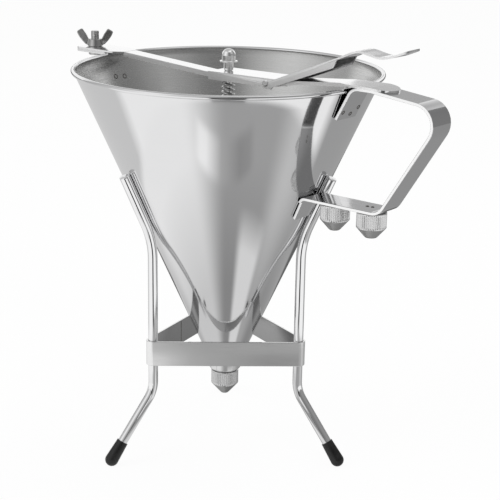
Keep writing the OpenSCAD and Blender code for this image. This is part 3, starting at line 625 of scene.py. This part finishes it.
def makeCoilTree():
    tree = bpy.data.node_groups.new("coiledWire", "GeometryNodeTree")
    start, end = groupSockets(tree, [
        ("Turns", "NodeSocketFloat", 16.0), ("Radius", "NodeSocketFloat", 0.0037),
        ("Height", "NodeSocketFloat", 0.04), ("Wire", "NodeSocketFloat", 0.0006), ("Sides", "NodeSocketInt", 12),
        ("Per Turn", "NodeSocketInt", 32), ("Centre", "NodeSocketVector", (0, 0, 0)),
        ("Material", "NodeSocketMaterial", None)], [("Geometry", "NodeSocketGeometry")])
    coil = tree.nodes.new("GeometryNodeCurveSpiral")
    for source, target in (("Per Turn", "Resolution"), ("Turns", "Rotations"), ("Radius", "Start Radius"),
                           ("Radius", "End Radius"), ("Height", "Height")):
        plug(tree, start.outputs[source], coil.inputs[target])
    move = tree.nodes.new("GeometryNodeTransform")
    plug(tree, sweepWire(tree, coil.outputs[0], start), move.inputs["Geometry"])
    plug(tree, start.outputs["Centre"], move.inputs["Translation"])
    paintAndEnd(tree, move.outputs[0], start, end)
    return tree


coilTree = makeCoilTree()
springShape = {"turns": 16.0, "wire": 0.0006, "sides": 14, "perTurn": 40}


def makeSpring():
    low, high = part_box("return_spring")
    wire = springShape["wire"]
    radius = (high.y - low.y) / 2 - wire
    piece = emptyPiece("springCoil")
    useTree(piece, coilTree, {
        "Turns": springShape["turns"], "Radius": radius, "Height": high.z - low.z - 2.2 * wire, "Wire": wire,
        "Sides": springShape["sides"], "Per Turn": springShape["perTurn"],
        "Centre": (axisX, 0.0, low.z + 1.1 * wire), "Material": finishes["springWire"]})
    smooth(piece.data, 50)
    attach(piece, ["return_spring"])
    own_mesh(piece)


makeSpring()

# The thread shows from the wing nut's hub to just under the bolt's end
threadShape = {"pitch": 0.0008, "ridge": 0.00028, "sunk": 0.45, "sides": 4, "perTurn": 36, "boltR": 0.00245,
               "aboveNut": 0.0052, "underEnd": 0.0006}


def makeThread(node):
    low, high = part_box(node)
    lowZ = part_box("wing_nut")[0].z + threadShape["aboveNut"]
    height = high.z - threadShape["underEnd"] - lowZ
    ridge = threadShape["ridge"]
    piece = emptyPiece("boltThread")
    useTree(piece, coilTree, {
        "Turns": height / threadShape["pitch"], "Radius": threadShape["boltR"] - ridge * threadShape["sunk"],
        "Height": height, "Wire": ridge, "Sides": threadShape["sides"], "Per Turn": threadShape["perTurn"],
        "Centre": ((low.x + high.x) / 2, 0.0, lowZ), "Material": finishes["platedScrew"]})
    smooth(piece.data, 30)
    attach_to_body(piece, bodyOf[node])


makeThread("clamp_bolt")
print("spring and thread made")


# The wing nut is the CAD shape, cast soft by a fine remesh
castShape = {"voxel": 0.00022, "calm": 0.5, "rounds": 7}


def makeWingNut():
    piece = nodeCopy("wing_nut", "wingNut")
    soften = piece.modifiers.new("cast", "REMESH")
    soften.mode = "VOXEL"
    soften.voxel_size = castShape["voxel"]
    calm = piece.modifiers.new("calm", "SMOOTH")
    calm.factor = castShape["calm"]
    calm.iterations = castShape["rounds"]
    settle(piece)
    smooth(piece.data)
    attach(piece, ["wing_nut"], finishes["platedScrew"])


makeWingNut()


# The legs are bent wire round a filleted path

def makeLegTree():
    tree = bpy.data.node_groups.new("bentWire", "GeometryNodeTree")
    start, end = groupSockets(tree, [
        ("Geometry", "NodeSocketGeometry", None), ("Wire", "NodeSocketFloat", 0.003), ("Sides", "NodeSocketInt", 40),
        ("Upper Bend", "NodeSocketFloat", 0.05), ("Lower Bend", "NodeSocketFloat", 0.02),
        ("Material", "NodeSocketMaterial", None)], [("Geometry", "NodeSocketGeometry")])
    line = tree.nodes.new("GeometryNodeMeshToCurve")
    plug(tree, start.outputs["Geometry"], line.inputs[0])
    place = tree.nodes.new("GeometryNodeInputIndex")
    isUpper = calc(tree, "LESS_THAN", place.outputs[0], 1.5)
    radius = calc(tree, "ADD", calc(tree, "MULTIPLY", isUpper, start.outputs["Upper Bend"]),
                  calc(tree, "MULTIPLY", calc(tree, "SUBTRACT", 1.0, isUpper), start.outputs["Lower Bend"]))
    fillet = tree.nodes.new("GeometryNodeFilletCurve")
    fillet.mode = "POLY"
    plug(tree, line.outputs[0], fillet.inputs["Curve"])
    plug(tree, radius, fillet.inputs["Radius"])
    fillet.inputs["Count"].default_value = legShape["bendSteps"]
    paintAndEnd(tree, sweepWire(tree, fillet.outputs[0], start), start, end)
    return tree


legShape = {"wire": 0.003, "sides": 48, "standR": 0.0524, "leanR": 0.055, "splayZ": 0.0447, "splayR": 0.020,
            "footR": 0.082, "footZ": 0.0037, "topZ": 0.1855, "clear": 0.00025, "bendSteps": 14, "endBevel": 0.0007,
            "endSteps": 4, "endFrom": 60}
legTree = makeLegTree()
legs = [("leg_right", "legRight", 11), ("leg_left", "legLeft", 251), ("leg_back", "legBack", 131)]


def makeLeg(node, name, degrees):
    lean, bead = math.radians(funnelSheet["halfAngle"]), funnelSheet["bead"]
    slope = math.tan(lean)
    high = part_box("funnel_cone")[1]
    apexZ = high.z - bead - (high.x - axisX - bead) / slope
    offset = (legShape["wire"] + legShape["clear"]) / math.cos(lean)
    topR = (legShape["topZ"] - apexZ) * slope + offset
    leanZ = apexZ + (legShape["standR"] - offset) / slope
    corners = [(topR, legShape["topZ"]), (legShape["standR"], leanZ), (legShape["standR"], legShape["splayZ"]),
               (legShape["footR"], legShape["footZ"])]
    a = math.radians(degrees)
    mesh = bpy.data.meshes.new(name)
    path = [(axisX + r * math.cos(a), r * math.sin(a), z) for r, z in corners]
    mesh.from_pydata(path, [(0, 1), (1, 2), (2, 3)], [])
    piece = addObject(name, mesh)
    useTree(piece, legTree, {"Wire": legShape["wire"], "Sides": legShape["sides"], "Upper Bend": legShape["leanR"],
                             "Lower Bend": legShape["splayR"], "Material": finishes["standWire"]})
    bevel = piece.modifiers.new("ends", "BEVEL")
    bevel.width = legShape["endBevel"]
    bevel.segments = legShape["endSteps"]
    bevel.limit_method = "ANGLE"
    bevel.angle_limit = math.radians(legShape["endFrom"])
    settle(piece)
    smooth(piece.data, 40)
    attach(piece, [node])


for node, name, degrees in legs:
    makeLeg(node, name, degrees)
print("legs made")


# Bevelled copies of the bent sheet pieces and the turned pieces: node, name, width of the bevel, finish
bevelled = [
    ("handle_strap", "handleStrap", 0.0004, "polishedStrap"),
    ("bridge_bracket", "bridgeBracket", 0.0004, "polishedStrap"),
    ("bridge_bar", "bridgeBar", 0.0003, "bridgeSteel"), ("lever", "leverArm", 0.0003, "leverSteel"),
    ("stand_band", "standBand", 0.0003, "bandSteel"), ("outlet_ferrule", "ferrule", 0.0003, "turnedSteel"),
    ("clamp_bolt", "clampBolt", 0.0004, "platedScrew"), ("pivot_pin", "pivotPin", 0.0003, "bridgeSteel"),
    ("valve_plug", "valvePlug", 0.0003, "turnedSteel"), ("spring_collar", "springCollar", 0.0003, "turnedSteel"),
    ("neck_nut", "neckNut", 0.0004, "knobSteel"), ("dome_knob", "domeKnob", 0.0003, "knobSteel"),
    ("foot_cap_right", "footCapRight", 0.0004, "rubberBlack"),
    ("foot_cap_left", "footCapLeft", 0.0004, "rubberBlack"),
    ("foot_cap_back", "footCapBack", 0.0004, "rubberBlack"), ("stud_inner", "studInner", 0.0003, "turnedSteel"),
    ("stud_outer", "studOuter", 0.0003, "turnedSteel")]
roundedTops = {"bridge_bar": (0.0011, 4), "lever": (0.0012, 4)}
secondFinish = {
    "handle_strap": [("gripInsidePaintedShade", isGripInside), ("cutEdge", isCutEdge)],
    "bridge_bracket": [("cutEdge", isCutEdge)],
    "bridge_bar": [("flangeSteel", isCutEdge)], "lever": [("flangeSteel", isCutEdge)],
    "stand_band": [("bandInsidePaintedShade", isBandInside)]}
for node, name, width, finish in bevelled:
    bevelledCopy(node, name, width, finishes[finish], roundedTops.get(node), secondFinish.get(node, ()))
rod = frame["nodes"]["valve_rod"].data    # straight and plain, so it keeps its CAD shape
rod.materials.clear()
rod.materials.append(finishes["turnedSteel"])
print("bevelled copies made")


# Weld marks: small rings pressed into the sheet, set by a tree on points that carry the sheet's direction

def makeMarkTree():
    tree = bpy.data.node_groups.new("weldRings", "GeometryNodeTree")
    start, end = groupSockets(tree, [
        ("Geometry", "NodeSocketGeometry", None), ("Ring", "NodeSocketFloat", 0.0013),
        ("Wire", "NodeSocketFloat", 0.0002), ("Sides", "NodeSocketInt", 28),
        ("Material", "NodeSocketMaterial", None)], [("Geometry", "NodeSocketGeometry")])
    loop = tree.nodes.new("GeometryNodeCurvePrimitiveCircle")
    plug(tree, start.outputs["Sides"], loop.inputs["Resolution"])
    plug(tree, start.outputs["Ring"], loop.inputs["Radius"])
    section = tree.nodes.new("GeometryNodeCurvePrimitiveCircle")
    section.inputs["Resolution"].default_value = 8
    plug(tree, start.outputs["Wire"], section.inputs["Radius"])
    bead = tree.nodes.new("GeometryNodeCurveToMesh")
    plug(tree, loop.outputs[0], bead.inputs["Curve"])
    plug(tree, section.outputs[0], bead.inputs["Profile Curve"])
    aim = tree.nodes.new("GeometryNodeInputNamedAttribute")
    aim.data_type = "FLOAT_VECTOR"
    aim.inputs["Name"].default_value = "aim"
    face = tree.nodes.new("FunctionNodeAlignRotationToVector")
    face.axis = "Z"
    plug(tree, aim.outputs[0], face.inputs["Vector"])
    copies = tree.nodes.new("GeometryNodeInstanceOnPoints")
    plug(tree, start.outputs["Geometry"], copies.inputs["Points"])
    plug(tree, bead.outputs[0], copies.inputs["Instance"])
    plug(tree, face.outputs[0], copies.inputs["Rotation"])
    paintAndEnd(tree, copies.outputs[0], start, end)
    return tree


markTree = makeMarkTree()
weldWire = {"wire": 0.00028, "sides": 28}
weldMarks = {
    "weldsInside": {
        "node": "funnel_cone", "ring": 0.0014, "at": [(-0.10021, -0.01004, 0.23068), (-0.10045, -0.00176, 0.22994)],
        "aim": [(0.907, 0.109, 0.407), (0.913, 0.010, 0.407)]},
    "weldsOnFlange": {
        "node": "handle_strap", "ring": 0.0011,
        "at": [(0.07630, -0.0066, 0.23059), (0.07526, 0.00188, 0.22868), (0.07709, 0.00728, 0.23205)],
        "aim": [(0.879, 0.0, -0.477)] * 3},
    "weldsOnGrip": {
        "node": "handle_strap", "ring": 0.0008, "at": [(0.0905, 0.0009, 0.1771), (0.0938, 0.0014, 0.1771)],
        "aim": [(0.0, 0.0, 1.0)] * 2}}
for name, marks in weldMarks.items():
    mesh = bpy.data.meshes.new(name)
    mesh.from_pydata(marks["at"], [], [])
    aims = mesh.attributes.new("aim", "FLOAT_VECTOR", "POINT")
    for point, direction in zip(aims.data, marks["aim"]):
        point.vector = direction
    piece = addObject(name, mesh)
    useTree(piece, markTree, {"Ring": marks["ring"], "Wire": weldWire["wire"], "Sides": weldWire["sides"],
                              "Material": finishes["weldMark"]})
    smooth(piece.data)
    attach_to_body(piece, bodyOf[marks["node"]])

# The band is closed by a thin upright weld on the side behind the clamp
bandSeam = {"x": -0.04154, "y": -0.01187, "inset": 0.0006, "wire": 0.0003, "sides": 12}
low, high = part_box("stand_band")
ends = [(bandSeam["x"], bandSeam["y"], z) for z in (low.z + bandSeam["inset"], high.z - bandSeam["inset"])]
seam = emptyPiece("bandSeam")
seam.data.from_pydata(ends, [(0, 1)], [])
useTree(seam, legTree, {
    "Wire": bandSeam["wire"], "Sides": bandSeam["sides"], "Upper Bend": 0.0, "Lower Bend": 0.0,
    "Material": finishes["weldMark"]})
smooth(seam.data, 50)
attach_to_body(seam, bodyOf["stand_band"])
print("weld marks and seam made")


# Studio: floor, white surround, glowing cards that only the metal sees for painted reflections, lamps, camera

view = {"azimuth": 40.0, "distance": 0.78353, "height": 0.36966, "yaw": -1.095, "pitch": -17.034, "roll": 1.046,
        "lens": 93.27, "sensor": 36.0}


def stagePiece(name, mesh, material):
    mesh.materials.append(material)
    piece = addObject(name, mesh)
    return piece


def acrossView(tree, coords):
    turn = tree.nodes.new("ShaderNodeMapping")
    turn.vector_type = "POINT"
    turn.inputs["Rotation"].default_value = (0, 0, -math.radians(view["azimuth"]))
    shift = tree.nodes.new("ShaderNodeVectorMath")
    shift.operation = "SUBTRACT"
    plug(tree, coords, shift.inputs[0])
    shift.inputs[1].default_value = (axisX, 0, 0)
    plug(tree, shift.outputs[0], turn.inputs[0])
    parts = tree.nodes.new("ShaderNodeSeparateXYZ")
    plug(tree, turn.outputs[0], parts.inputs[0])
    return parts.outputs[0], calc(tree, "MULTIPLY", parts.outputs[1], -1.0)


# Painted reflections: for glossy rays the floor glows in these tones, which the metal sees. The near tones lie round
# the funnel, by degrees from the camera's side; side and front are metres across the view and towards the camera
floorShape = {
    # The shade darkens the near tones close to the axis: a painted shadow of the object, seen only in the metal
    "size": 6.0, "tone": 0.9, "whiteShare": 0.95, "farFrom": (0.255, 0.275), "shade": (0.09, 0.2, 0.72, 1.0),
    # Painted reflections: a broad white light on the left, a dark room in front, a weaker light on the right, half
    # light behind
    "near": [
        (-180, 0.75), (-140, 0.65), (-100, 0.95), (-40, 0.95), (0, 0.4), (40, 0.4), (65, 0.6), (105, 0.4),
        (145, 0.4), (180, 0.7)],
    "streak": [(0.533, 0.0), (0.57, 1.0), (0.64, 1.0), (0.672, 0.0)], "streakReach": (0.12, 0.155),
    "streakTone": 0.78,
    "slit": [(0.0, 0.98), (0.461, 0.98), (0.469, 0.03), (0.531, 0.03), (0.539, 0.98), (1.0, 0.98)],
    "rear": [(0.0, 0.66), (0.37, 0.66), (0.41, 0.06), (0.62, 0.06), (0.70, 0.38), (1.0, 0.38)],
    "rearSide": (-0.6, 0.6), "slitFrom": (-0.04, 0.02),
    "patch": [(0.15, 1.0), (0.4, 0.45), (0.7, 0.3), (1.0, 0.35)],
    "patchTones": (-0.1, 0.1), "patchSide": (-0.11, -0.09, 0.07, 0.09), "patchFront": (0.165, 0.175, 0.203, 0.213),
    "darkSide": (-0.14, -0.11, 0.2, 0.23), "darkFront": (-0.2, -0.16), "darkTone": 0.13}


def paintedFloorReflections(tree):
    side, front = acrossView(tree, tree.nodes.new("ShaderNodeTexCoord").outputs["Object"])
    reach = reachOf(tree, side, front)
    turn = calc(tree, "ADD", calc(tree, "MULTIPLY", calc(tree, "ARCTAN2", side, front), 0.5 / math.pi), 0.5)
    near = ramp(tree, turn, [(0.5 + degrees / 360, tone) for degrees, tone in floorShape["near"]])
    # Painted shadow of the object: close to the axis the near tones go dark
    near = blendTones(tree, spread(tree, reach, *floorShape["shade"]), grey(0.0), near)
    # A painted lighter patch close in on the right, a painted reflection seen by the cone's lower right side and by
    # the right foot
    streak = product(tree, ramp(tree, turn, floorShape["streak"]),
                     spread(tree, reach, *floorShape["streakReach"], 1.0, 0.0))
    near = blendTones(tree, streak, near, grey(floorShape["streakTone"]))
    # Far out a painted narrow dark wedge runs towards the camera, which draws a painted dark line down the bright
    # wire
    slit = ramp(tree, turn, floorShape["slit"])
    rear = ramp(tree, spread(tree, side, *floorShape["rearSide"], 0.0, 1.0), floorShape["rear"])
    far = blendTones(tree, spread(tree, front, *floorShape["slitFrom"], 0.0, 1.0), rear, slit)
    # The band's flat front sees a painted patch that runs from white to grey, a painted reflection
    patch = ramp(tree, spread(tree, side, *floorShape["patchTones"], 0.0, 1.0), floorShape["patch"], "LINEAR")
    inPatch = product(tree, within(tree, side, *floorShape["patchSide"]),
                      within(tree, front, *floorShape["patchFront"]))
    near = blendTones(tree, inPatch, near, patch)
    shown = blendTones(tree, spread(tree, reach, *floorShape["farFrom"], 0.0, 1.0), near, far)
    # Straight behind the object the floor is painted dark for glossy rays, which draws painted dark outlines of the
    # wire and of the cone
    behind = product(tree, spread(tree, front, *floorShape["darkFront"], 1.0, 0.0),
                     within(tree, side, *floorShape["darkSide"]))
    return blendTones(tree, behind, shown, grey(floorShape["darkTone"]))


def makeFloor():
    material, tree = blankMaterial("studioFloor")
    # Glossy rays see the painted reflection tones; camera and transmission rays see a nearly white floor with a
    # faint shadow
    paintedReflection = tree.nodes.new("ShaderNodeEmission")
    plug(tree, paintedFloorReflections(tree), paintedReflection.inputs[0])
    white = tree.nodes.new("ShaderNodeEmission")
    white.inputs[0].default_value = grey(1.0)
    soft = tree.nodes.new("ShaderNodeBsdfDiffuse")
    soft.inputs[0].default_value = grey(floorShape["tone"])
    rays = tree.nodes.new("ShaderNodeLightPath")
    seen = tree.nodes.new("ShaderNodeMixShader")
    direct = calc(tree, "MAXIMUM", rays.outputs["Is Camera Ray"], rays.outputs["Is Transmission Ray"])
    plug(tree, calc(tree, "MULTIPLY", direct, floorShape["whiteShare"]), seen.inputs[0])
    plug(tree, soft.outputs[0], seen.inputs[1])
    plug(tree, white.outputs[0], seen.inputs[2])
    final = tree.nodes.new("ShaderNodeMixShader")
    plug(tree, rays.outputs["Is Glossy Ray"], final.inputs[0])
    plug(tree, seen.outputs[0], final.inputs[1])
    plug(tree, paintedReflection.outputs[0], final.inputs[2])
    output = tree.nodes.new("ShaderNodeOutputMaterial")
    plug(tree, final.outputs[0], output.inputs[0])
    mesh = bpy.data.meshes.new("studioFloor")
    size = floorShape["size"]
    mesh.from_pydata([(-size, -size, 0), (size, -size, 0), (size, size, 0), (-size, size, 0)], [], [(0, 1, 2, 3)])
    stagePiece("studioFloor", mesh, material)


# Glowing cards that only the metal sees, for painted reflections.
# Angles in degrees from the camera's side, tones by such angles along the low part and the high part
cardShape = {"radius": 1.5, "steps": 40, "highFrom": 0.9, "highTo": 1.15}
cards = [
    # Painted reflections of the room: bright on the left, dark in front, greyer to the right
    {"name": "roomReflectionCard", "angles": (-125, 125), "heights": (0.02, 2.6), "low": [
        (-125, 0.42), (-90, 0.6), (-55, 0.95), (-28, 0.60), (-10, 0.34), (5, 0.20), (18, 0.22), (46, 0.28),
        (75, 0.30), (125, 0.25)], "high": [
        (-125, 0.5), (-60, 0.95), (-28, 0.65), (-8, 0.28), (5, 0.20), (20, 0.24), (45, 0.45), (62, 0.6), (80, 0.45),
        (97, 0.28), (125, 0.28)]},
    # A low dark strip behind, which rounds off the knob, the nut and the rim with thin painted dark reflection lines
    {"name": "rearReflectionStrip", "angles": (126, 234), "heights": (0.02, 0.25), "low": [(-125, 0.1), (125, 0.1)],
     "high": [(-125, 0.1), (125, 0.1)]},
    # A grey card high behind, on the handle's side, which paints a grey reflection on the tops of the bridge's end
    # and of the strap
    {"name": "rearReflectionCard", "angles": (162, 171.5), "heights": (0.5, 0.85), "low": [(-125, 0.5), (125, 0.5)],
     "high": [(-125, 0.5), (125, 0.5)]}]


def makeCard(name, angles, heights, low, high):
    material, tree = blankMaterial(name)
    parts = tree.nodes.new("ShaderNodeSeparateXYZ")
    plug(tree, tree.nodes.new("ShaderNodeTexCoord").outputs["Object"], parts.inputs[0])
    along = calc(tree, "ARCTAN2", calc(tree, "SUBTRACT", parts.outputs[0], axisX),
                 calc(tree, "MULTIPLY", parts.outputs[1], -1.0))
    turn = calc(tree, "FRACT", calc(
        tree, "ADD", calc(tree, "MULTIPLY", along, 0.5 / math.pi), 0.5 - view["azimuth"] / 360))
    bottom, top = [ramp(tree, turn, [(0.5 + a / 360, tone) for a, tone in stops]) for stops in (low, high)]
    upper = spread(tree, parts.outputs[2], cardShape["highFrom"], cardShape["highTo"], 0.0, 1.0)
    glow = tree.nodes.new("ShaderNodeEmission")
    plug(tree, blendTones(tree, upper, bottom, top), glow.inputs[0])
    output = tree.nodes.new("ShaderNodeOutputMaterial")
    plug(tree, glow.outputs[0], output.inputs[0])
    radius, steps = cardShape["radius"], cardShape["steps"]
    points = []
    for k in range(steps + 1):
        a = math.radians(view["azimuth"] + angles[0] + (angles[1] - angles[0]) * k / steps)
        points += [(axisX + radius * math.sin(a), -radius * math.cos(a), z) for z in heights]
    mesh = bpy.data.meshes.new(name)
    mesh.from_pydata(points, [], [(2 * k, 2 * k + 2, 2 * k + 3, 2 * k + 1) for k in range(steps)])
    piece = stagePiece(name, mesh, material)
    piece.visible_camera = False
    piece.visible_diffuse = False
    piece.visible_transmission = False
    piece.visible_shadow = False


makeFloor()
for card in cards:
    makeCard(**card)

# High up behind the object, on the clamp's side, glossy rays see a grey zone of the world: a painted reflection of a
# ceiling
airShape = {"strength": (0.55, 1.0), "ceilingFrom": 0.36, "ceilingTo": 0.58, "clampSide": (-0.1, 0.4), "tone": 0.5}
world = bpy.data.worlds.new("studio")
bpy.context.scene.world = world
world.use_nodes = True
air = world.node_tree
air.nodes.clear()
rays = air.nodes.new("ShaderNodeLightPath")
direct = calc(air, "MAXIMUM", rays.outputs["Is Camera Ray"], rays.outputs["Is Glossy Ray"])
bright = calc(air, "MAXIMUM", direct, rays.outputs["Is Transmission Ray"])
sky = air.nodes.new("ShaderNodeBackground")
plug(air, spread(air, bright, 0.0, 1.0, *airShape["strength"]), sky.inputs[1])
aloft = air.nodes.new("ShaderNodeSeparateXYZ")
plug(air, air.nodes.new("ShaderNodeTexCoord").outputs["Generated"], aloft.inputs[0])
high = spread(air, aloft.outputs[2], airShape["ceilingFrom"], airShape["ceilingTo"], 0.0, 1.0)
overClamp = spread(air, aloft.outputs[0], *airShape["clampSide"], 1.0, 0.0)
paintedCeiling = product(air, high, overClamp, rays.outputs["Is Glossy Ray"])
plug(air, blendTones(air, paintedCeiling, grey(1.0), grey(airShape["tone"])), sky.inputs[0])
airOut = air.nodes.new("ShaderNodeOutputWorld")
plug(air, sky.outputs[0], airOut.inputs[0])

lamps = [
    {"name": "softLeft", "place": (-0.9, -1.3, 1.5), "size": (1.1, 1.1), "power": 14.0},
    {"name": "softRight", "place": (1.5, -0.5, 1.2), "size": (0.7, 1.0), "power": 5.0},
    {"name": "softTop", "place": (0.1, 0.5, 1.9), "size": (1.2, 1.2), "power": 9.0}]
lampAim = Vector((axisX, 0, 0.13))
for lamp in lamps:
    data = bpy.data.lights.new(lamp["name"], "AREA")
    data.shape = "RECTANGLE"
    data.size, data.size_y = lamp["size"]
    data.energy = lamp["power"]
    holder = addObject(lamp["name"], data)
    holder.location = lamp["place"]
    holder.visible_glossy = False
    holder.rotation_euler = (lampAim - Vector(lamp["place"])).to_track_quat("-Z", "Y").to_euler()
print("studio made")

around, yaw, tilt, lean = [math.radians(view[name]) for name in ("azimuth", "yaw", "pitch", "roll")]
heading = around + yaw
ahead = Vector((-math.sin(heading) * math.cos(tilt), math.cos(heading) * math.cos(tilt), math.sin(tilt)))
right = Vector((math.cos(heading), math.sin(heading), 0))
up = right.cross(ahead)
right, up = right * math.cos(lean) + up * math.sin(lean), up * math.cos(lean) - right * math.sin(lean)
camera = addObject("camera", bpy.data.cameras.new("camera"))
camera.data.lens = view["lens"]
camera.data.sensor_width = view["sensor"]
turned = Matrix((right, up, -ahead)).transposed().to_4x4()
away = view["distance"]
turned.translation = (axisX + away * math.sin(around), -away * math.cos(around), view["height"])
camera.matrix_world = turned
bpy.context.scene.camera = camera

scene = bpy.context.scene
scene.view_settings.view_transform = "Standard"
